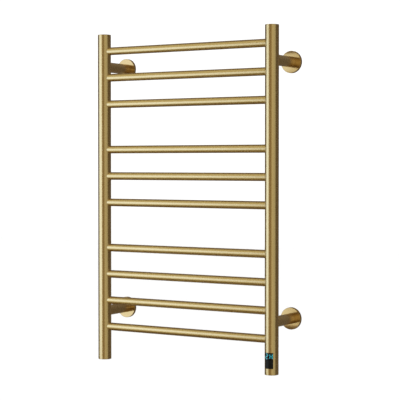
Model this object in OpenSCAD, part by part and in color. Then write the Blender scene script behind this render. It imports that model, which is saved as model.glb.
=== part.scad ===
/* [Rack] */
// Overall height, from the bottom caps to the top caps
rack_height = 800; // [800:5:1000]
// Overall width over the two uprights
rack_width = 500; // [440:10:700]
// Distance between rail centres inside a group
rail_pitch = 65; // [50:1:67]
// Distance between the last rail of a group and the first rail of the next
group_pitch = 111.5; // [80:0.5:115]
// Distance from the bottom end of an upright to the last rail
bottom_margin = 81; // [81:1:85]

/* [Tubes] */
// Outside diameter of an upright
upright_od = 32; // [32:0.1:32.4]
// Wall thickness of an upright
upright_wall = 1.2; // [1:0.1:1.2]
// Outside diameter of a rail
rail_od = 19; // [16:1:20]
// Wall thickness of a rail
rail_wall = 1; // [0.8:0.1:1.5]

/* [Wall mounting] */
// Distance from the wall to the axes of the uprights
wall_distance = 100; // [80:5:130]
// Height between the upper and the lower stand-offs
standoff_spacing = 602; // [400:2:660]
// Distance from the bottom end of an upright to the lower stand-offs
lower_standoff = 119; // [119:1:140]
// Outside diameter of a stand-off arm
arm_od = 25; // [25:0.5:26]
// Diameter of a cover rosette
rosette_od = 52; // [48:1:60]
// Depth of a cover rosette
rosette_depth = 7; // [7:0.5:10]
// Distance between the two screw holes of a wall plate
screw_spacing = 34; // [32:1:36]
// Diameter of a wall screw hole
screw_hole = 4.5; // [4:0.5:5]
// Bore of the grommet that takes the supply cord
cord_bore = 7.5; // [6:0.5:9]

/* [Control] */
// Distance from the bottom end of the upright to the control opening
control_rise = 15; // [15:0.5:16]
// Width of the control opening
control_width = 21; // [21:0.1:21.4]
// Height of the control opening
control_height = 36.5; // [36.5:0.5:38]
// Height of the display part at the top of the opening
display_height = 15.4; // [15.4:0.1:16]
// Travel of the timer key
key_travel = 0.8; // [0.4:0.1:0.8]
// Height of a display digit
digit_height = 12.6; // [11:0.1:12.6]

/* [Hidden] */
$fn = 64;

upright_r = upright_od / 2;
upright_bore_r = upright_r - upright_wall;
rail_r = rail_od / 2;
upright_x = rack_width / 2 - upright_r;
rack_bottom = -standoff_spacing / 2 - lower_standoff;
rack_top = rack_bottom + rack_height;
standoff_z = standoff_spacing / 2;

// The rails are counted from the top, in groups of three, three and four
rail_count = 10;
function gaps_below(i) = i < 3 ? 2 : i < 6 ? 1 : 0;
function rail_z(i) = rack_bottom + bottom_margin + (rail_count - 1 - i) * rail_pitch
    + gaps_below(i) * (group_pitch - rail_pitch);
// Each rail reaches past the wall of the upright, to this distance from the upright's axis
rail_end = 10.5;

cap_flange = 1.5;
cap_plug = 6;
cap_edge = 0.7;

arm_r = arm_od / 2;
arm_wall = 2.5;
arm_bore_r = arm_r - arm_wall;
sliding_gap = 0.1;
plate_thickness = 3;
plate_r = 22.5;
hub_r = arm_bore_r - sliding_gap;
hub_length = 19;
hub_bore_r = 8;
grommet_waist_r = 7;
grommet_depth = 5.5;
groove_y = 14;
groove_width = 3;
groove_depth = 1.2;
grub_r = 2.5;
grub_top = arm_r - 0.1;
dog_r = 1.3;
hex_r = 1.44;
hex_depth = 1.5;
rosette_wall = 1.2;
rosette_edge = 0.8;
cable_hole_r = 6;

// The heating cable and the leads
cable_r = 2;
cable_bend = 10;
return_offset = 6;
lead_r = 1;
lead_bend = 4;

// The control, in the coordinates of the right upright: its axis is at zero and its front is -Y
control_bottom = rack_bottom + control_rise;
control_top = control_bottom + control_height;
frame_w = 1;
bezel_back = 5 - upright_r;
bezel_leg_x = 10.1;
carrier_r = upright_bore_r - 0.3;
carrier_wall = 1.5;
carrier_floor = 4;
carrier_bottom = rack_bottom + cap_flange + cap_plug;
carrier_top = control_top + 10.5;
carrier_clearance = 0.4;
divider_z = control_top - display_height;
opening_w = control_width - 2 * frame_w;
key_gap = 0.3;
key_w = opening_w - 2 * key_gap;
key_bottom = control_bottom + frame_w + key_gap;
key_top = divider_z - frame_w - key_gap;
key_wall = 1.8;
key_rim = 1.4;
lip_reach = 0.9;
lip_w = 17;
lip_t = 0.8;
key_back = bezel_back + sliding_gap + lip_t;
carrier_front = key_back + key_travel + carrier_clearance;
key_mid = (key_bottom + key_top) / 2;
switch_size = 6;
switch_front = -9.3;
switch_bore = 1.8;
stem_r = 1.5;
stem_entry = 0.4;
stem_tip = switch_front + stem_entry;
switch_floor = stem_tip + key_travel + key_gap;
window_r = upright_r - 1.2;
module_r = window_r - 0.6;
module_w = 18.4;
module_rim = 0.4;
digit_r = module_r + 0.4;
digit_width = 6.6;
digit_stroke = 1.5;
digit_offset = 5.5;
digit_top = control_top - 2;
segment_gap = 0.1;
board_back = -4.4;
board_front = -6;
board_w = 24;
board_bottom = carrier_bottom + carrier_floor + 0.5;
board_top = carrier_top - 2;
screw_r = 1.5;
screw_hole_r = screw_r + 0.2;
screw_head_r = 3;
screw_hex_r = 1.15;
screw_hex_depth = 1;
terminal_size = [15, 10, 18];
terminal_top = control_top + 2.5;
relay_size = [10, 15, 20];
fuse_top = control_top + 28.5;
fuse_height = 16;
fuse_r = 3;
sensor_r = 1.8;
sensor_x = -9.5;
sensor_y = 3;
sensor_bottom = control_top + 10.5;
sensor_height = 8;
sensor_lead_z = control_top - 0.5;
clip_wall = 0.6;
clip_height = 8;
clip_slot = 8;
clip_mid = (rail_z(rail_count - 1) + rail_r - standoff_z - cable_hole_r) / 2;
earth_x = 3;
earth_y = 4;

// Moves its children onto the axis of one upright: side is -1 for left, 1 for right
module on_upright(side) {
    translate([side * upright_x, -wall_distance, 0]) children();
}

// Moves its children to a stand-off, with their own +Z pointing out of the wall
module on_standoff(side, level) {
    translate([side * upright_x, 0, level * standoff_z]) rotate([90, 0, 0]) children();
}

// A box between two corners
module box(low, high) {
    translate(low) cube(high - low);
}

// A round disc with a rounded upper edge
module soft_disc(r, h, edge) {
    rotate_extrude() union() {
        square([r - edge, h]);
        square([r, h - edge]);
        translate([r - edge, h - edge]) intersection() {
            circle(r = edge);
            square([edge, edge]);
        }
    }
}

// An upright tube with its holes for the rails
module upright(side) {
    difference() {
        on_upright(side) translate([0, 0, rack_bottom + cap_flange])
            cylinder(r = upright_r, h = rack_height - 2 * cap_flange);
        on_upright(side) translate([0, 0, rack_bottom])
            cylinder(r = upright_bore_r, h = rack_height);
        for (i = [0 : rail_count - 1])
            translate([0, -wall_distance, rail_z(i)]) rotate([0, side * 90, 0])
                cylinder(r = rail_r, h = upright_x);
    }
}

module left_upright() {
    color("darkkhaki") upright(-1);
}

// The right upright also has the control opening and the hole for the supply cord
module right_upright() {
    color("darkkhaki") difference() {
        upright(1);
        on_upright(1) box(
            [-control_width / 2, -upright_r - 1, control_bottom],
            [control_width / 2, 0, control_top]
        );
        on_upright(1) translate([0, 0, -standoff_z]) rotate([-90, 0, 0])
            cylinder(r = cable_hole_r, h = upright_od);
    }
}

// One horizontal rail: a tube whose ends sit in the holes of the uprights
module rail(i) {
    length = 2 * (upright_x - rail_end);
    color("palegoldenrod") translate([0, -wall_distance, rail_z(i)]) rotate([0, 90, 0])
        difference() {
            cylinder(r = rail_r, h = length, center = true);
            cylinder(r = rail_r - rail_wall, h = length + 2, center = true);
        }
}

// A closing cap with its flange flush with the tube: end is 1 for the top, -1 for the bottom
module cap(side, end) {
    edge_z = end > 0 ? rack_top : rack_bottom;
    on_upright(side) translate([0, 0, edge_z]) mirror([0, 0, end > 0 ? 0 : 1])
        translate([0, 0, -cap_flange]) {
            soft_disc(upright_r, cap_flange, cap_edge);
            translate([0, 0, -cap_plug]) cylinder(r = upright_bore_r, h = cap_plug);
        }
}

module closed_cap(side, end) {
    color("darkkhaki") cap(side, end);
}

// The cap under the control is held by a countersunk screw
module right_bottom_cap() {
    color("darkkhaki") difference() {
        cap(1, -1);
        on_upright(1) translate([0, 0, rack_bottom - 1])
            cylinder(r = screw_hole_r, h = cap_flange + cap_plug + 2);
        on_upright(1) translate([0, 0, rack_bottom])
            cylinder(r1 = screw_head_r, r2 = screw_r, h = screw_head_r - screw_r);
    }
}

// A stand-off arm: a tube that is saddle-cut to the upright and threaded for its grub screw
module arm(side, level) {
    color("goldenrod") difference() {
        on_standoff(side, level) difference() {
            translate([0, 0, plate_thickness])
                cylinder(r = arm_r, h = wall_distance - plate_thickness);
            cylinder(r = arm_bore_r, h = wall_distance);
            translate([0, 0, groove_y]) rotate([90, 0, 0]) cylinder(r = grub_r, h = arm_od);
        }
        on_upright(side) translate([0, 0, level * standoff_z - arm_od])
            cylinder(r = upright_r, h = 2 * arm_od);
    }
}

// A cover rosette: a shallow cup that slides along the arm against the wall
module rosette(side, level) {
    color("gold") on_standoff(side, level) difference() {
        soft_disc(rosette_od / 2, rosette_depth, rosette_edge);
        translate([0, 0, -1])
            cylinder(r = rosette_od / 2 - rosette_wall, h = rosette_depth - rosette_wall + 1);
        cylinder(r = arm_r + sliding_gap, h = 2 * rosette_depth);
    }
}

// A wall plate: a disc with two screw holes and a hollow hub that the arm slides over
module wall_plate(side, level) {
    color("silver") on_standoff(side, level) difference() {
        union() {
            cylinder(r = plate_r, h = plate_thickness);
            cylinder(r = hub_r, h = plate_thickness + hub_length);
        }
        translate([0, 0, -1]) cylinder(r = grommet_waist_r, h = plate_thickness + 2);
        translate([0, 0, plate_thickness]) cylinder(r = hub_bore_r, h = hub_length + 1);
        for (end = [-1, 1])
            translate([end * screw_spacing / 2, 0, -1])
                cylinder(r = screw_hole / 2, h = plate_thickness + 2);
        translate([0, 0, groove_y - groove_width / 2]) difference() {
            cylinder(r = hub_r + 1, h = groove_width);
            translate([0, 0, -1]) cylinder(r = hub_r - groove_depth, h = groove_width + 2);
        }
    }
}

// A grub screw with a hexagon socket and a dog point that enters the hub's groove
module grub_screw(side, level) {
    on_standoff(side, level) translate([0, 0, groove_y]) rotate([90, 0, 0]) difference() {
        union() {
            translate([0, 0, arm_bore_r]) cylinder(r = grub_r, h = grub_top - arm_bore_r);
            translate([0, 0, hub_r - groove_depth + sliding_gap])
                cylinder(r = dog_r, h = groove_depth + sliding_gap);
        }
        translate([0, 0, grub_top - hex_depth])
            cylinder(r = hex_r, h = hex_depth + 1, $fn = 6);
    }
}

module grub_screws() {
    color("dimgray") for (side = [-1, 1], level = [-1, 1]) grub_screw(side, level);
}

// The rubber grommet of the cable entry, in the lower right wall plate
module cable_grommet() {
    color("black") on_standoff(1, -1) difference() {
        union() {
            cylinder(r = grommet_waist_r, h = plate_thickness);
            translate([0, 0, plate_thickness])
                cylinder(r = hub_bore_r, h = grommet_depth - plate_thickness);
        }
        translate([0, 0, -1]) cylinder(r = cord_bore / 2, h = grommet_depth + 2);
    }
}

// A straight vertical length of cable or lead
module run_up(x, y, z0, z1, r) {
    translate([x, y, z0]) cylinder(r = r, h = z1 - z0);
}

// A quarter bend in the plane of the rack: turn is where the bend starts, from +X towards +Z
module bend(x, z, turn) {
    translate([x, -wall_distance, z]) rotate([90, 0, 0]) rotate([0, 0, turn])
        rotate_extrude(angle = 90) translate([cable_bend, 0]) circle(r = cable_r);
}

// The hop of the cable from one rail to the next, inside an upright
module hop(side, z_low, z_high) {
    centre_x = side * (upright_x - cable_bend);
    bend(centre_x, z_low + cable_bend, side < 0 ? 180 : 270);
    run_up(side * upright_x, -wall_distance, z_low + cable_bend, z_high - cable_bend, cable_r);
    bend(centre_x, z_high - cable_bend, side < 0 ? 90 : 0);
}

// The heating cable: from the terminal block through every rail and back down
module heating_cable() {
    z_first = rail_z(rail_count - 1);
    z_last = rail_z(0);
    straight = upright_x - cable_bend;
    color("firebrick") union() {
        run_up(upright_x, -wall_distance, terminal_top, z_first - cable_bend, cable_r);
        bend(straight, z_first - cable_bend, 0);
        for (i = [0 : rail_count - 1])
            translate([-straight, -wall_distance, rail_z(i)]) rotate([0, 90, 0])
                cylinder(r = cable_r, h = 2 * straight + (i == 0 ? return_offset : 0));
        for (i = [0 : rail_count - 2])
            hop(i % 2 == 0 ? -1 : 1, rail_z(i + 1), rail_z(i));
        bend(straight + return_offset, z_last - cable_bend, 0);
        run_up(upright_x + return_offset, -wall_distance, fuse_top, z_last - cable_bend, cable_r);
    }
}

// The thermal fuse in the return of the heating cable
module thermal_fuse() {
    color("white") on_upright(1) translate([return_offset, 0, fuse_top - fuse_height])
        cylinder(r = fuse_r, h = fuse_height);
}

module neutral_lead() {
    color("blue") on_upright(1)
        run_up(return_offset, 0, terminal_top, fuse_top - fuse_height, lead_r);
}

// The black frame that fills the control opening, with two legs back to the carrier
module control_bezel() {
    half = control_width / 2;
    color("black") on_upright(1) difference() {
        union() {
            intersection() {
                translate([0, 0, control_bottom]) cylinder(r = upright_r, h = control_height);
                box([-half, -upright_r, control_bottom], [half, bezel_back, control_top]);
            }
            for (s = [-1, 1])
                mirror([s < 0 ? 1 : 0, 0, 0]) box(
                    [opening_w / 2, bezel_back, control_bottom],
                    [bezel_leg_x, carrier_front, control_top]
                );
        }
        box(
            [-opening_w / 2, -upright_r - 1, control_bottom + frame_w],
            [opening_w / 2, bezel_back + 1, divider_z - frame_w]
        );
        box(
            [-opening_w / 2, -upright_r - 1, divider_z],
            [opening_w / 2, bezel_back + 1, control_top - frame_w]
        );
    }
}

// A curved sheet between two radii, trimmed to the display opening
module display_sheet(r_in, r_out, width, z0, z1) {
    intersection() {
        difference() {
            translate([0, 0, z0]) cylinder(r = r_out, h = z1 - z0);
            translate([0, 0, z0 - 1]) cylinder(r = r_in, h = z1 - z0 + 2);
        }
        box([-width / 2, -upright_r - 1, z0], [width / 2, bezel_back + 1, z1]);
    }
}

module display_window() {
    color("black") on_upright(1)
        display_sheet(window_r, upright_r, opening_w, divider_z, control_top - frame_w);
}

// The flat outline of one seven-segment character; segments run a to g, 1 when lit
module character(segments) {
    w = digit_width;
    t = digit_stroke;
    half = (digit_height - t) / 2;
    lows = [[t, 2 * half], [w - t, half + t], [w - t, t], [t, 0], [0, t], [0, half + t], [t, half]];
    sizes = [
        [w - 2 * t, t], [t, half - t], [t, half - t], [w - 2 * t, t],
        [t, half - t], [t, half - t], [w - 2 * t, t]
    ];
    gap = [segment_gap, segment_gap];
    for (k = [0 : 6])
        if (segments[k] == 1)
            translate(lows[k] + gap) square(sizes[k] - 2 * gap);
}

// The lit reading of the timer: the number of hours and the hour mark
module display_digits() {
    readings = [[1, 1, 0, 1, 1, 0, 1], [0, 1, 1, 0, 1, 1, 1]];
    z0 = digit_top - digit_height;
    color("cyan") on_upright(1) intersection() {
        display_sheet(module_r, digit_r, module_w, z0, digit_top);
        union() for (k = [0, 1])
            translate([(2 * k - 1) * digit_offset - digit_width / 2, -module_r / 2, z0])
                rotate([90, 0, 0]) linear_extrude(module_r) character(readings[k]);
    }
}

// The light guide and LEDs behind the reading, with a curved front
module display_module() {
    z0 = digit_top - digit_height - module_rim;
    z1 = digit_top + module_rim;
    color("dimgray") on_upright(1) intersection() {
        translate([0, 0, z0]) cylinder(r = module_r, h = z1 - z0);
        box([-module_w / 2, -upright_r, z0], [module_w / 2, board_front, z1]);
    }
}

// The timer key: a curved shell with retaining lips and a stem that works the switch
module timer_button() {
    color("darkslategray") on_upright(1) {
        difference() {
            intersection() {
                translate([0, 0, key_bottom]) cylinder(r = upright_r, h = key_top - key_bottom);
                box([-key_w / 2, -upright_r, key_bottom], [key_w / 2, key_back, key_top]);
            }
            intersection() {
                translate([0, 0, key_bottom])
                    cylinder(r = upright_r - key_wall, h = key_top - key_bottom);
                box(
                    [-key_w / 2 + key_rim, -upright_r, key_bottom + key_rim],
                    [key_w / 2 - key_rim, key_back + 1, key_top - key_rim]
                );
            }
        }
        box(
            [-lip_w / 2, key_back - lip_t, key_bottom - lip_reach],
            [lip_w / 2, key_back, key_bottom + key_rim]
        );
        box(
            [-lip_w / 2, key_back - lip_t, key_top - key_rim],
            [lip_w / 2, key_back, key_top + lip_reach]
        );
        translate([0, stem_tip, key_mid]) rotate([90, 0, 0])
            cylinder(r = stem_r, h = upright_r - key_wall / 2 + stem_tip);
    }
}

module circuit_board() {
    color("darkgreen") on_upright(1)
        box([-board_w / 2, board_front, board_bottom], [board_w / 2, board_back, board_top]);
}

// The switch behind the key; the key's stem moves in its bore
module tact_switch() {
    half = switch_size / 2;
    color("silver") on_upright(1) difference() {
        box([-half, switch_front, key_mid - half], [half, board_front, key_mid + half]);
        translate([0, switch_floor, key_mid]) rotate([90, 0, 0])
            cylinder(r = switch_bore, h = switch_size);
    }
}

module relay() {
    color("royalblue") on_upright(1)
        translate([-relay_size[0] / 2, board_back, board_bottom + 1]) cube(relay_size);
}

module terminal_block() {
    color("lightgray") on_upright(1)
        translate([-terminal_size[0] / 2, board_back, terminal_top - terminal_size[2]])
            cube(terminal_size);
}

// The plastic carrier that slides into the upright and holds the board
module control_carrier() {
    color("gray") on_upright(1) difference() {
        translate([0, 0, carrier_bottom]) cylinder(r = carrier_r, h = carrier_top - carrier_bottom);
        translate([0, 0, carrier_bottom + carrier_floor])
            cylinder(r = carrier_r - carrier_wall, h = carrier_top - carrier_bottom);
        box(
            [-upright_r, -upright_r, carrier_bottom - 1],
            [upright_r, carrier_front, carrier_top + 1]
        );
        box([-board_w / 2, board_front, board_bottom], [board_w / 2, board_back, carrier_top + 1]);
        translate([0, 0, carrier_bottom - 1]) cylinder(r = screw_r, h = carrier_floor + 2);
    }
}

// The countersunk screw that holds the bottom cap to the carrier
module carrier_screw() {
    length = cap_flange + cap_plug + carrier_floor;
    color("silver") on_upright(1) translate([0, 0, rack_bottom]) difference() {
        union() {
            cylinder(r1 = screw_head_r, r2 = screw_r, h = screw_head_r - screw_r);
            cylinder(r = screw_r, h = length);
        }
        translate([0, 0, -1]) cylinder(r = screw_hex_r, h = screw_hex_depth + 1, $fn = 6);
    }
}

module temperature_sensor() {
    color("orange") on_upright(1) translate([sensor_x, sensor_y, sensor_bottom])
        cylinder(r = sensor_r, h = sensor_height);
}

// The lead from the sensor down and forward to the back of the board
module sensor_lead() {
    color("yellow") on_upright(1) {
        run_up(sensor_x, sensor_y, sensor_lead_z + lead_bend, sensor_bottom, lead_r);
        translate([sensor_x, sensor_y - lead_bend, sensor_lead_z + lead_bend])
            rotate([90, 0, 90]) rotate([0, 0, -90])
                rotate_extrude(angle = 90) translate([lead_bend, 0]) circle(r = lead_r);
        translate([sensor_x, board_back, sensor_lead_z]) rotate([-90, 0, 0])
            cylinder(r = lead_r, h = sensor_y - lead_bend - board_back);
    }
}

// The sprung ring that earths the upright from inside
module earth_clip() {
    color("gold") on_upright(1) translate([0, 0, clip_mid - clip_height / 2]) difference() {
        cylinder(r = upright_bore_r, h = clip_height);
        translate([0, 0, -1]) cylinder(r = upright_bore_r - clip_wall, h = clip_height + 2);
        box([-upright_r, -clip_slot / 2, -1], [0, clip_slot / 2, clip_height + 1]);
    }
}

// The earth lead: up from the terminal block and back onto the ring
module earth_lead() {
    reach = sqrt(pow(upright_bore_r - clip_wall, 2) - pow(earth_x + lead_r, 2));
    color("limegreen") on_upright(1) {
        run_up(earth_x, earth_y, terminal_top, clip_mid - lead_bend, lead_r);
        translate([earth_x, earth_y + lead_bend, clip_mid - lead_bend])
            rotate([90, 0, 90]) rotate([0, 0, 90])
                rotate_extrude(angle = 90) translate([lead_bend, 0]) circle(r = lead_r);
        translate([earth_x, earth_y + lead_bend, clip_mid]) rotate([-90, 0, 0])
            cylinder(r = lead_r, h = reach - earth_y - lead_bend);
    }
}

left_upright();
right_upright();
rail(0);  // rail_01
rail(1);  // rail_02
rail(2);  // rail_03
rail(3);  // rail_04
rail(4);  // rail_05
rail(5);  // rail_06
rail(6);  // rail_07
rail(7);  // rail_08
rail(8);  // rail_09
rail(9);  // rail_10
closed_cap(-1, 1);  // left_top_cap
closed_cap(1, 1);  // right_top_cap
closed_cap(-1, -1);  // left_bottom_cap
right_bottom_cap();
arm(-1, 1);  // upper_left_arm
arm(1, 1);  // upper_right_arm
arm(-1, -1);  // lower_left_arm
arm(1, -1);  // lower_right_arm
rosette(-1, 1);  // upper_left_rosette
rosette(1, 1);  // upper_right_rosette
rosette(-1, -1);  // lower_left_rosette
rosette(1, -1);  // lower_right_rosette
wall_plate(-1, 1);  // upper_left_wall_plate
wall_plate(1, 1);  // upper_right_wall_plate
wall_plate(-1, -1);  // lower_left_wall_plate
wall_plate(1, -1);  // lower_right_wall_plate
grub_screws();
cable_grommet();
heating_cable();
control_bezel();
display_window();
display_digits();
display_module();
timer_button();
circuit_board();
tact_switch();
relay();
terminal_block();
control_carrier();
carrier_screw();
thermal_fuse();
neutral_lead();
temperature_sensor();
sensor_lead();
earth_clip();
earth_lead();
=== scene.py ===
import math
from collections import namedtuple

import bmesh
import bpy
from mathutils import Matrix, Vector


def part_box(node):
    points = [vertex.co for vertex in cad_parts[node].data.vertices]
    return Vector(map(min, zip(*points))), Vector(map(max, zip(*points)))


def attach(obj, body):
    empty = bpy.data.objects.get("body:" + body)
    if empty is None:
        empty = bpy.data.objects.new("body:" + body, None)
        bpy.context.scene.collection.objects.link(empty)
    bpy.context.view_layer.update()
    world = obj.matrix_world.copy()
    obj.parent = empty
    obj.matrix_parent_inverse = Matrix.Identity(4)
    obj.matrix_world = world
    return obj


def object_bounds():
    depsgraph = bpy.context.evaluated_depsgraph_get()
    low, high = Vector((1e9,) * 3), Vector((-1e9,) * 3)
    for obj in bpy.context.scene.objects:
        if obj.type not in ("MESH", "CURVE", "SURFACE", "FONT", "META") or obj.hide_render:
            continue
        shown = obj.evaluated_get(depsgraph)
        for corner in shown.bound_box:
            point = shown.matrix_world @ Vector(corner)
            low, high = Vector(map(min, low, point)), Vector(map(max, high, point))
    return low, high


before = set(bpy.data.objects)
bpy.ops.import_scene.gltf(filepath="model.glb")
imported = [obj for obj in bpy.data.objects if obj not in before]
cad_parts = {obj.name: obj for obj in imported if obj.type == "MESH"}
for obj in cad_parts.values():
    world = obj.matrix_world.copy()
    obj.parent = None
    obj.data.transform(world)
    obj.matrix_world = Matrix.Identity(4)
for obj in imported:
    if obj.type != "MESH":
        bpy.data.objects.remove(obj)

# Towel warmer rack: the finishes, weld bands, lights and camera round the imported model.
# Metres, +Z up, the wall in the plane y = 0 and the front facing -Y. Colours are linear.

cad_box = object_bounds()
scene = bpy.context.scene
MM = 0.001
UP = Vector((0, 0, 1))
RAILS = [f"rail_{number:02d}" for number in range(1, 11)]
PLACES = ("upper_left", "upper_right", "lower_left", "lower_right")

# Metals: the brushed coating in its lighter and deeper streaks and where edges are rubbed, its roughness,
# and the weight of the clear lacquer over it
Metal = namedtuple("Metal", "light deep worn rough lacquer")
GOLD = Metal((0.72, 0.565, 0.290), (0.68, 0.525, 0.260), (0.80, 0.69, 0.48), 0.278, 1.0)
WELD = GOLD._replace(rough=0.36)
ROSETTE = Metal((0.645, 0.468, 0.222), (0.61, 0.433, 0.195), GOLD.worn, 0.12, 0.3)
ZINC = Metal((0.60, 0.61, 0.63), (0.48, 0.51, 0.56), (0.60, 0.61, 0.63), 0.42, 0.0)
STEEL = Metal((0.42, 0.42, 0.43), (0.26, 0.26, 0.27), (0.42, 0.42, 0.43), 0.36, 0.0)
SATIN = Metal((0.68, 0.68, 0.69), (0.55, 0.55, 0.56), (0.68, 0.68, 0.69), 0.34, 0.0)
BRONZE = Metal((0.62, 0.42, 0.20), (0.48, 0.30, 0.13), (0.62, 0.42, 0.20), 0.30, 0.0)

# Brushed metal: features to the metre across the lines, of blasted metal without lines, and along the lines
LINE_PITCH = 1400.0
HAIRLINE_PITCH = 5200.0
BLAST_PITCH = 1500.0
ALONG_LINES_PITCH = 60.0
# its slow changes of colour, smudges and rubbed edges
CLOUD_PITCH = 9.0
SMUDGE_PITCH = 55.0
RUB_PITCH = 900.0
RUB_WIDTH = 0.5 * MM
RUB_WEAKEST, RUB_STRONGEST = 0.1, 0.6
# the lines' share in the colour, beside the clouds, and in the height, beside the hairlines
LINE_COLOUR_SHARE = 0.6
LINE_HEIGHT_SHARE = 0.7
LINE_DEPTH = 0.004 * MM
LINE_STRENGTH = 0.14
# how far the lines and the smudges move the roughness either way
LINE_ROUGHNESS = 0.015
SMUDGE_ROUGHNESS = 0.01
# the lacquer's roughness, and the stretch and turn of the highlights that brushing gives
LACQUER_ROUGH = 0.2
BRUSH_STRETCH = 0.4
BRUSH_TURN = 0.25

# An edge begins where the softened normal has turned from the true one past this cosine
EDGE_COSINE = 0.98

# Plastics, rubbers and ceramics by node: the spark-eroded grain is in features to the metre and metres deep
Plastic = namedtuple("Plastic", "colour rough grain_pitch grain_depth coat specular")
PLASTICS = {
    "cable_grommet": Plastic((0.022, 0.022, 0.023), 0.68, 1800, 0.03 * MM, 0.0, 0.5),
    "heating_cable": Plastic((0.42, 0.055, 0.035), 0.55, 1500, 0.03 * MM, 0.0, 0.5),
    "control_bezel": Plastic((0.002, 0.002, 0.0022), 0.32, 3800, 0.004 * MM, 0.0, 0.15),
    "display_module": Plastic((0.003, 0.003, 0.0035), 0.6, 2600, 0.02 * MM, 0.0, 0.1),
    "timer_button": Plastic((0.003, 0.003, 0.003), 0.34, 3400, 0.006 * MM, 0.0, 0.2),
    "relay": Plastic((0.025, 0.085, 0.36), 0.35, 2200, 0.01 * MM, 0.2, 0.5),
    "terminal_block": Plastic((0.50, 0.52, 0.52), 0.5, 2200, 0.015 * MM, 0.0, 0.5),
    "control_carrier": Plastic((0.10, 0.10, 0.105), 0.55, 2400, 0.02 * MM, 0.0, 0.5),
    "thermal_fuse": Plastic((0.78, 0.77, 0.73), 0.25, 1600, 0.01 * MM, 0.5, 0.5),
    "neutral_lead": Plastic((0.02, 0.09, 0.45), 0.45, 1800, 0.01 * MM, 0.0, 0.5),
    "temperature_sensor": Plastic((0.035, 0.035, 0.045), 0.3, 1500, 0.02 * MM, 0.3, 0.5),
    "sensor_lead": Plastic((0.60, 0.48, 0.05), 0.45, 1800, 0.01 * MM, 0.0, 0.5),
    "earth_lead": Plastic((0.09, 0.40, 0.07), 0.45, 1800, 0.01 * MM, 0.0, 0.5),
}
# their mottling and the patches that hands have smoothed, in features to the metre
MOTTLE_PITCH = 120.0
TOUCH_PITCH = 260.0

# The lit digits' light
CYAN = (0.05, 0.72, 0.80)

# Weld bands: the hollow's radius, how deep their root lies in the walls, how far their rims are sunk, the
# outlines round a bar, and the steps across a hollow
WELD_RADIUS = 0.9 * MM
WELD_ROOT = 0.4 * MM
WELD_SUNK = 0.015 * MM
WELD_SECTIONS = 56
WELD_STEPS = 5

# Softboxes: the bearing from the rack's front in degrees, positive to the right, the distance from the
# rack's plane of tubes, the height of the middle, the width and height, and the radiance
Softbox = namedtuple("Softbox", "bearing distance height width tall radiance")
SOFTBOXES = {
    "key_softbox": Softbox(-47.35, 1.695, -0.02, 1.597, 1.41, (0.560, 0.779, 1.222)),
    "key_spill": Softbox(-47.60, 1.715, 1.0, 1.95, 5.1, (0.424, 0.433, 0.284)),
    "fill_softbox": Softbox(58.41, 2.2, 0.26, 2.703, 3.5, (0.373, 0.376, 0.285)),
}
TUBE_PLANE_Y = -0.1

# The surround's radiance where it is seen and where it lights, and the dim room that the metal mirrors:
# its colours ahead of the rack, at its sides and behind the wall, and its gains on the level, straight up
# and straight down
SURROUND = 1.1
ROOM_FRONT = (0.288, 0.202, 0.084)
ROOM_SIDE = (0.117, 0.082, 0.040)
ROOM_BACK = (0.136, 0.106, 0.076)
ROOM_LEVEL = (1.0, 1.0, 1.0)
ROOM_UP = (2.0, 2.0, 2.0)
ROOM_DOWN = (1.5, 1.5, 1.5)

# The floor: how far it lies below the rack, and how far it reaches from the middle
FLOOR_DROP = 0.6
FLOOR_REACH = 12.0

# The camera, fitted to the photo: a small downward tilt stands in for most of the photo's shifted lens.
# The tilt is in degrees up from straight down, and the turn in degrees to the left of straight at the wall.
CAMERA_PLACE = (1.6356, -2.7169, 0.0654)
CAMERA_TILT = 88.704
CAMERA_TURN = 31.342
CAMERA_SHIFT = -0.02
CAMERA_REACH = 100.0
LENS_MM = 116.82
SENSOR_MM = 36.0


def put(tree, socket, value):
    """Links a socket to an output, or writes a constant into it. A colour gets its alpha here."""
    if isinstance(value, bpy.types.NodeSocket):
        tree.links.new(value, socket)
    elif socket.type == "RGBA":
        socket.default_value = (*value, 1)
    else:
        socket.default_value = value


def add_node(tree, kind, values=None, **settings):
    """Adds a node with its settings, then its input values by name or number."""
    made = tree.nodes.new(kind)
    for name, value in settings.items():
        setattr(made, name, value)
    for socket, value in (values or {}).items():
        put(tree, made.inputs[socket], value)
    return made


def mix_colours(tree, share, a, b):
    """The colour between a, at share 0, and b, at share 1. 6, 7 and 2 are the Mix node's colour sockets."""
    return add_node(tree, "ShaderNodeMix", {0: share, 6: a, 7: b}, data_type="RGBA").outputs[2]


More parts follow.
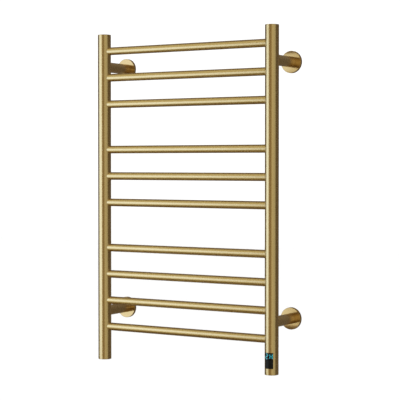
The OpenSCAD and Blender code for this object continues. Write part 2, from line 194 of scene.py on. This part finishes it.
class Finish:
    """One procedural material: each call adds a node and gives its output socket."""

    def __init__(self, name):
        self.material = bpy.data.materials.new(name)
        self.material.use_nodes = True
        self.tree = self.material.node_tree
        self.tree.nodes.clear()
        self.shader = self.node("ShaderNodeBsdfPrincipled")
        self.node("ShaderNodeOutputMaterial", {"Surface": self.shader.outputs["BSDF"]})
        self.place = self.node("ShaderNodeTexCoord").outputs["Object"]

    def node(self, kind, values=None, **settings):
        return add_node(self.tree, kind, values, **settings)

    def set(self, **values):
        """Sets the shader's inputs by name, with _ for a space."""
        for name, value in values.items():
            put(self.tree, self.shader.inputs[name.replace("_", " ")], value)

    def math(self, operation, a, b=0.0, clamp=False):
        return self.node("ShaderNodeMath", {0: a, 1: b}, operation=operation, use_clamp=clamp).outputs[0]

    def vector(self, operation, a, b):
        """The vector or, for a dot product, the number that two vectors give."""
        made = self.node("ShaderNodeVectorMath", {0: a, 1: b}, operation=operation)
        return made.outputs["Value" if operation == "DOT_PRODUCT" else "Vector"]

    def length(self, vector):
        return self.node("ShaderNodeVectorMath", {0: vector}, operation="LENGTH").outputs["Value"]

    def mix(self, share, a, b):
        return mix_colours(self.tree, share, a, b)

    def weigh(self, a, b, share):
        """share of the number a, and the rest of the number b."""
        return self.math("ADD", self.math("MULTIPLY", a, share), self.math("MULTIPLY", b, 1 - share))

    def spread(self, value, low, high, from_low=0.3, from_high=0.7):
        """Maps a value from one range, by default a noise's usual one, onto another, held at its ends."""
        return self.node(
            "ShaderNodeMapRange",
            {"Value": value, "From Min": from_low, "From Max": from_high, "To Min": low, "To Max": high},
        ).outputs[0]

    def noise(self, pitch, detail=3, roughness=0.55, distortion=0.0, at=None):
        """Noise with so many features to the metre, or to the unit of the coordinates given in at."""
        values = {"Vector": self.place if at is None else at, "Scale": pitch, "Detail": detail,
                  "Roughness": roughness, "Distortion": distortion}
        return self.node("ShaderNodeTexNoise", values).outputs["Fac"]

    def tube_grain(self, axis, pitch):
        """Coordinates whose noise makes lines round a tube, pitch to the metre, along an axis."""
        scale = [ALONG_LINES_PITCH] * 3
        scale["XYZ".index(axis)] = pitch
        return self.vector("MULTIPLY", self.place, scale)

    def turned_grain(self, axis, pitch, centre):
        """Coordinates whose noise makes rings round an axis through a centre, pitch to the metre."""
        index = "XYZ".index(axis)
        flat = [1.0] * 3
        flat[index] = 0.0
        offset = self.vector("SUBTRACT", self.place, centre)
        radius = self.length(self.vector("MULTIPLY", offset, flat))
        parts = self.node("ShaderNodeSeparateXYZ", {0: offset}).outputs
        polar = self.node("ShaderNodeCombineXYZ", {0: radius, 1: parts[index], 2: parts[0]}).outputs[0]
        return self.vector("MULTIPLY", polar, (pitch, pitch, ALONG_LINES_PITCH))

    def brush_lines(self, axis, centre):
        """(lines, hairlines) as noise: round a tube, as rings round a centre, or blasted without an axis."""
        if axis is None:
            return self.noise(BLAST_PITCH, detail=4, roughness=0.65), self.noise(3 * BLAST_PITCH, detail=2)
        coarse, fine = (
            self.tube_grain(axis, pitch) if centre is None else self.turned_grain(axis, pitch, centre)
            for pitch in (LINE_PITCH, HAIRLINE_PITCH)
        )
        return self.noise(1, detail=4, roughness=0.65, at=coarse), self.noise(1, detail=2, at=fine)

    def edges(self, radius, gain):
        """(share, normal): how near the surface is to a sharp edge, and the normal of a softened edge."""
        soft = self.node("ShaderNodeBevel", {"Radius": radius}, samples=4).outputs[0]
        true = self.node("ShaderNodeNewGeometry").outputs["Normal"]
        turned = self.math("SUBTRACT", EDGE_COSINE, self.vector("DOT_PRODUCT", soft, true))
        return self.math("MULTIPLY", turned, gain, True), soft

    def bump(self, height, distance, strength, normal=None):
        values = {"Height": height, "Distance": distance, "Strength": strength}
        if normal is not None:
            values["Normal"] = normal
        return self.node("ShaderNodeBump", values).outputs[0]


def brushed(name, metal, axis=None, centre=None):
    """Brushed metal under a clear lacquer. Its lines run round a tube's axis, or round the centre of a turned
    face; without an axis it is blasted, with no lines."""
    f = Finish(name)
    lines, hairlines = f.brush_lines(axis, centre)
    clouds = f.noise(CLOUD_PITCH)
    smudges = f.noise(SMUDGE_PITCH, detail=4, roughness=0.6, distortion=0.4)
    edge, soft = f.edges(radius=RUB_WIDTH, gain=5)
    wear = f.math("MULTIPLY", edge, f.spread(f.noise(RUB_PITCH, detail=2), RUB_WEAKEST, RUB_STRONGEST))
    streaks = f.spread(f.weigh(lines, clouds, LINE_COLOUR_SHARE), 0, 1, from_low=0.36, from_high=0.62)
    colour = f.mix(wear, f.mix(streaks, metal.deep, metal.light), metal.worn)
    rough = f.spread(lines, metal.rough - LINE_ROUGHNESS, metal.rough + LINE_ROUGHNESS)
    wander = f.spread(smudges, -SMUDGE_ROUGHNESS, SMUDGE_ROUGHNESS)
    height = f.weigh(lines, hairlines, LINE_HEIGHT_SHARE)
    f.set(Base_Color=colour, Metallic=1.0, Roughness=f.math("ADD", rough, wander),
          Coat_Weight=metal.lacquer, Coat_Roughness=LACQUER_ROUGH,
          Normal=f.bump(height, LINE_DEPTH, LINE_STRENGTH, soft))
    if axis:
        f.set(Anisotropic=BRUSH_STRETCH, Anisotropic_Rotation=BRUSH_TURN,
              Tangent=f.node("ShaderNodeTangent", direction_type="RADIAL", axis=axis).outputs[0])
    return f.material


def shade(colour, gain, lift=0.0):
    """A darker or lighter form of a colour."""
    return tuple(min(1.0, part * gain + lift) for part in colour)


def moulded(name, plastic):
    """Moulded plastic or rubber with a fine spark-eroded texture, slight mottling and rubbed edges."""
    f = Finish(name)
    grain = f.noise(plastic.grain_pitch, roughness=0.6)
    mottle = f.noise(MOTTLE_PITCH)
    touch = f.noise(TOUCH_PITCH, detail=4, roughness=0.6, distortion=0.6)
    edge, soft = f.edges(radius=0.35 * MM, gain=4)
    darker = shade(plastic.colour, gain=0.82)
    lighter = shade(plastic.colour, gain=1.25, lift=0.001)
    rubbed = shade(plastic.colour, gain=1.5, lift=0.008)
    base = f.mix(f.spread(mottle, 0, 1), darker, lighter)
    base = f.mix(f.math("MULTIPLY", edge, 0.5), base, rubbed)
    rough = f.spread(touch, plastic.rough - 0.06, plastic.rough + 0.05)
    f.set(Base_Color=base, Roughness=f.math("ADD", rough, f.spread(grain, -0.03, 0.03)),
          Specular_IOR_Level=plastic.specular, Coat_Weight=plastic.coat, Coat_Roughness=0.08,
          Normal=f.bump(grain, plastic.grain_depth, strength=0.7, normal=soft))
    return f.material


def smoked_window():
    """Polished smoked acrylic that the lit digits show through."""
    f = Finish("window_smoked")
    haze = f.noise(220, detail=4, roughness=0.6, distortion=0.5)
    dust = f.noise(2600, detail=2)
    cast = f.noise(90, detail=2)
    _, soft = f.edges(radius=0.25 * MM, gain=4)
    f.set(Base_Color=f.mix(f.spread(cast, 0, 1), (0.10, 0.115, 0.12), (0.12, 0.135, 0.14)),
          Transmission_Weight=1.0, IOR=1.4, Roughness=f.spread(haze, 0.02, 0.07),
          Normal=f.bump(dust, 0.002 * MM, strength=0.3, normal=soft))
    return f.material


def lit_digits():
    """The lit segments, a little brighter over each of their lamps."""
    f = Finish("digit_light")
    glow = f.noise(420, detail=1)
    grain = f.noise(3500, detail=2)
    f.set(Base_Color=f.mix(f.spread(grain, 0, 1), (0.10, 0.42, 0.44), (0.14, 0.50, 0.52)),
          Emission_Color=CYAN, Emission_Strength=f.spread(glow, 4.6, 7.0),
          Roughness=f.spread(grain, 0.35, 0.5), Normal=f.bump(grain, 0.01 * MM, strength=0.5))
    return f.material


def circuit_green():
    """Solder mask over copper tracks."""
    f = Finish("board_green")
    tracks = f.node(
        "ShaderNodeTexBrick", {"Vector": f.place, "Scale": 260.0, "Mortar Size": 0.035}
    ).outputs["Fac"]
    mask = f.noise(700)
    base = f.mix(f.spread(mask, 0, 1), (0.012, 0.11, 0.045), (0.02, 0.16, 0.06))
    base = f.mix(f.math("MULTIPLY", tracks, 0.6), base, (0.05, 0.28, 0.10))
    f.set(Base_Color=base, Roughness=f.spread(mask, 0.22, 0.38), Coat_Weight=0.4,
          Normal=f.bump(tracks, 0.03 * MM, strength=0.6))
    return f.material


def paint(node, material):
    """Gives a CAD node its finish in every slot that it has."""
    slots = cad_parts[node].data.materials
    for index in range(len(slots)):
        slots[index] = material


def middle(node):
    low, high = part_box(node)
    return (low + high) / 2


def paint_metal():
    upright = brushed("gold_upright", GOLD, "Z")
    rail = brushed("gold_rail", GOLD, "X")
    arm = brushed("gold_arm", GOLD, "Y")
    for side in ("left", "right"):
        paint(f"{side}_upright", upright)
        for end in ("top", "bottom"):
            cap = f"{side}_{end}_cap"
            paint(cap, brushed(f"gold_{cap}", GOLD, "Z", middle(cap)))
    for bar in RAILS:
        paint(bar, rail)
    for place in PLACES:
        paint(f"{place}_arm", arm)
        rosette = f"{place}_rosette"
        paint(rosette, brushed(f"gold_{rosette}", ROSETTE, "Y", middle(rosette)))
        plate = f"{place}_wall_plate"
        paint(plate, brushed(f"zinc_{plate}", ZINC, "Y", middle(plate)))
    screw = brushed("screw_steel", STEEL, "Z")
    paint("grub_screws", screw)
    paint("carrier_screw", screw)
    paint("tact_switch", brushed("switch_metal", SATIN, "X"))
    paint("earth_clip", brushed("clip_bronze", BRONZE, "Z"))


def paint_rest():
    for node, plastic in PLASTICS.items():
        paint(node, moulded(f"{node}_finish", plastic))
    paint("display_window", smoked_window())
    paint("display_digits", lit_digits())
    paint("circuit_board", circuit_green())


def weld_outline(turn, post_radius, bar_radius):
    """A weld's outline at one turn round its bar, in (out from the post's axis, sideways, up): the root
    hidden in both walls, then the hollow that a ball leaves as it rolls round the corner, post to bar."""
    side, rise = math.cos(turn), math.sin(turn)
    ball_side = (bar_radius + WELD_RADIUS) * side
    ball_out = math.sqrt((post_radius + WELD_RADIUS) ** 2 - ball_side ** 2)
    ball = Vector((ball_out, ball_side, (bar_radius + WELD_RADIUS) * rise))
    to_post = Vector((-ball.x, -ball.y, 0.0)).normalized()
    to_bar = Vector((0.0, -side, -rise))
    corner = math.sqrt(post_radius ** 2 - (bar_radius * side) ** 2)
    deep = bar_radius - WELD_ROOT
    root = Vector((corner - WELD_ROOT, deep * side, deep * rise))
    reach = WELD_RADIUS + WELD_SUNK
    hollow = [ball + reach * to_post.slerp(to_bar, step / WELD_STEPS) for step in range(WELD_STEPS + 1)]
    return [root] + hollow


def add_weld(shape, post, outward, height, bar_radius):
    """Adds one closed band of weld to a bmesh, where a bar leaves an upright in a level direction."""
    low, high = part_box(post)
    axis = Vector(((low.x + high.x) / 2, (low.y + high.y) / 2, height))
    sideways = outward.cross(UP)
    ring = []
    for section in range(WELD_SECTIONS):
        outline = weld_outline(math.tau * section / WELD_SECTIONS, (high.x - low.x) / 2, bar_radius)
        ring.append([shape.verts.new(axis + outward * p.x + sideways * p.y + UP * p.z) for p in outline])
    for here, there in zip(ring, ring[1:] + ring[:1]):
        for index in range(len(here)):
            after = (index + 1) % len(here)
            shape.faces.new((here[index], here[after], there[after], there[index])).smooth = True
        for rim in (1, -1):
            shape.edges.get((here[rim], there[rim])).smooth = False


def weld_piece(name, bar, joints, finish):
    """The welds of one rail or arm, as one piece. joints gives each one's upright and level direction."""
    low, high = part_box(bar)
    shape = bmesh.new()
    for post, outward in joints:
        add_weld(shape, post, Vector(outward), (low.z + high.z) / 2, (high.z - low.z) / 2)
    bmesh.ops.recalc_face_normals(shape, faces=shape.faces)
    mesh = bpy.data.meshes.new(name)
    shape.to_mesh(mesh)
    shape.free()
    mesh.materials.append(finish)
    piece = bpy.data.objects.new(name, mesh)
    scene.collection.objects.link(piece)
    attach(piece, "rack")


def weld_joints():
    finish = brushed("gold_weld", WELD)
    for bar in RAILS:
        joints = (("left_upright", (1, 0, 0)), ("right_upright", (-1, 0, 0)))
        weld_piece(f"{bar}_welds", bar, joints, finish)
    for place in PLACES:
        upright = f"{place.split('_')[1]}_upright"
        weld_piece(f"{place}_arm_weld", f"{place}_arm", ((upright, (0, 1, 0)),), finish)


def studio_light(name, box):
    """An upright softbox that faces the rack. It lights and is reflected, and the camera doesn't see it."""
    light = bpy.data.lights.new(name, "AREA")
    light.shape = "RECTANGLE"
    light.size, light.size_y = box.width, box.tall
    strongest = max(box.radiance)
    light.color = [part / strongest for part in box.radiance]
    # An area light's radiance is its power over pi and its area
    light.energy = strongest * math.pi * box.width * box.tall
    lamp = bpy.data.objects.new(name, light)
    scene.collection.objects.link(lamp)
    turn = math.radians(box.bearing)
    lamp.location = (box.distance * math.sin(turn), TUBE_PLANE_Y - box.distance * math.cos(turn), box.height)
    lamp.rotation_euler = (math.radians(90), 0, turn)
    lamp.visible_camera = False


def pole_colour(tree, part, below, above):
    """(share, colour): the square of one part of a direction, and the colour of the pole on its side."""
    positive = add_node(tree, "ShaderNodeMath", {0: part, 1: 0.0}, operation="GREATER_THAN").outputs[0]
    square = add_node(tree, "ShaderNodeMath", {0: part, 1: part}, operation="MULTIPLY").outputs[0]
    return square, mix_colours(tree, positive, below, above)


def studio_world():
    """A white surround for what is seen and lit; in reflections, a dim warm room, brightest ahead of the
    rack, and brighter above and below than on the level."""
    world = bpy.data.worlds.new("studio")
    scene.world = world
    world.use_nodes = True
    tree = world.node_tree
    tree.nodes.clear()
    direction = add_node(tree, "ShaderNodeTexCoord").outputs["Generated"]
    parts = add_node(tree, "ShaderNodeSeparateXYZ", {0: direction}).outputs
    facing, end = pole_colour(tree, parts[1], ROOM_FRONT, ROOM_BACK)
    steep, pole = pole_colour(tree, parts[2], ROOM_DOWN, ROOM_UP)
    around = mix_colours(tree, facing, ROOM_SIDE, end)
    gain = mix_colours(tree, steep, ROOM_LEVEL, pole)
    room = add_node(tree, "ShaderNodeVectorMath", {0: around, 1: gain}, operation="MULTIPLY").outputs[0]
    white = add_node(tree, "ShaderNodeBackground", {"Color": (1, 1, 1), "Strength": SURROUND})
    mirrored = add_node(tree, "ShaderNodeBackground", {"Color": room, "Strength": 1.0})
    glossy = add_node(tree, "ShaderNodeLightPath").outputs["Is Glossy Ray"]
    chosen = add_node(
        tree, "ShaderNodeMixShader", {0: glossy, 1: white.outputs[0], 2: mirrored.outputs[0]}
    )
    add_node(tree, "ShaderNodeOutputWorld", {"Surface": chosen.outputs[0]})


def studio_floor():
    """A plain pale floor, well below the rack, as a wall-mounted rack hangs over its floor."""
    level = cad_box[0].z - FLOOR_DROP
    mesh = bpy.data.meshes.new("floor")
    signs = ((-1, -1), (1, -1), (1, 1), (-1, 1))
    mesh.from_pydata([(x * FLOOR_REACH, y * FLOOR_REACH, level) for x, y in signs], [], [(0, 1, 2, 3)])
    floor = bpy.data.objects.new("floor", mesh)
    scene.collection.objects.link(floor)
    f = Finish("pale_floor")
    speckle = f.noise(40, detail=4)
    f.set(Base_Color=f.mix(f.spread(speckle, 0, 1), (0.93, 0.93, 0.93), (0.96, 0.96, 0.96)),
          Roughness=f.spread(speckle, 0.8, 0.9), Specular_IOR_Level=0.1)
    mesh.materials.append(f.material)
    floor.visible_glossy = False


def studio_camera():
    """The photographer's place: to the right of the rack, a little above the middle of its stand-offs."""
    camera = bpy.data.cameras.new("camera")
    camera.sensor_width = SENSOR_MM
    camera.lens = LENS_MM
    camera.shift_y = CAMERA_SHIFT
    camera.clip_end = CAMERA_REACH
    seat = bpy.data.objects.new("camera", camera)
    scene.collection.objects.link(seat)
    seat.location = CAMERA_PLACE
    seat.rotation_euler = (math.radians(CAMERA_TILT), 0, math.radians(CAMERA_TURN))
    scene.camera = seat


studio_camera()
studio_world()
studio_floor()
for name, box in SOFTBOXES.items():
    studio_light(name, box)
paint_metal()
paint_rest()
weld_joints()
scene.view_settings.view_transform = "Standard"
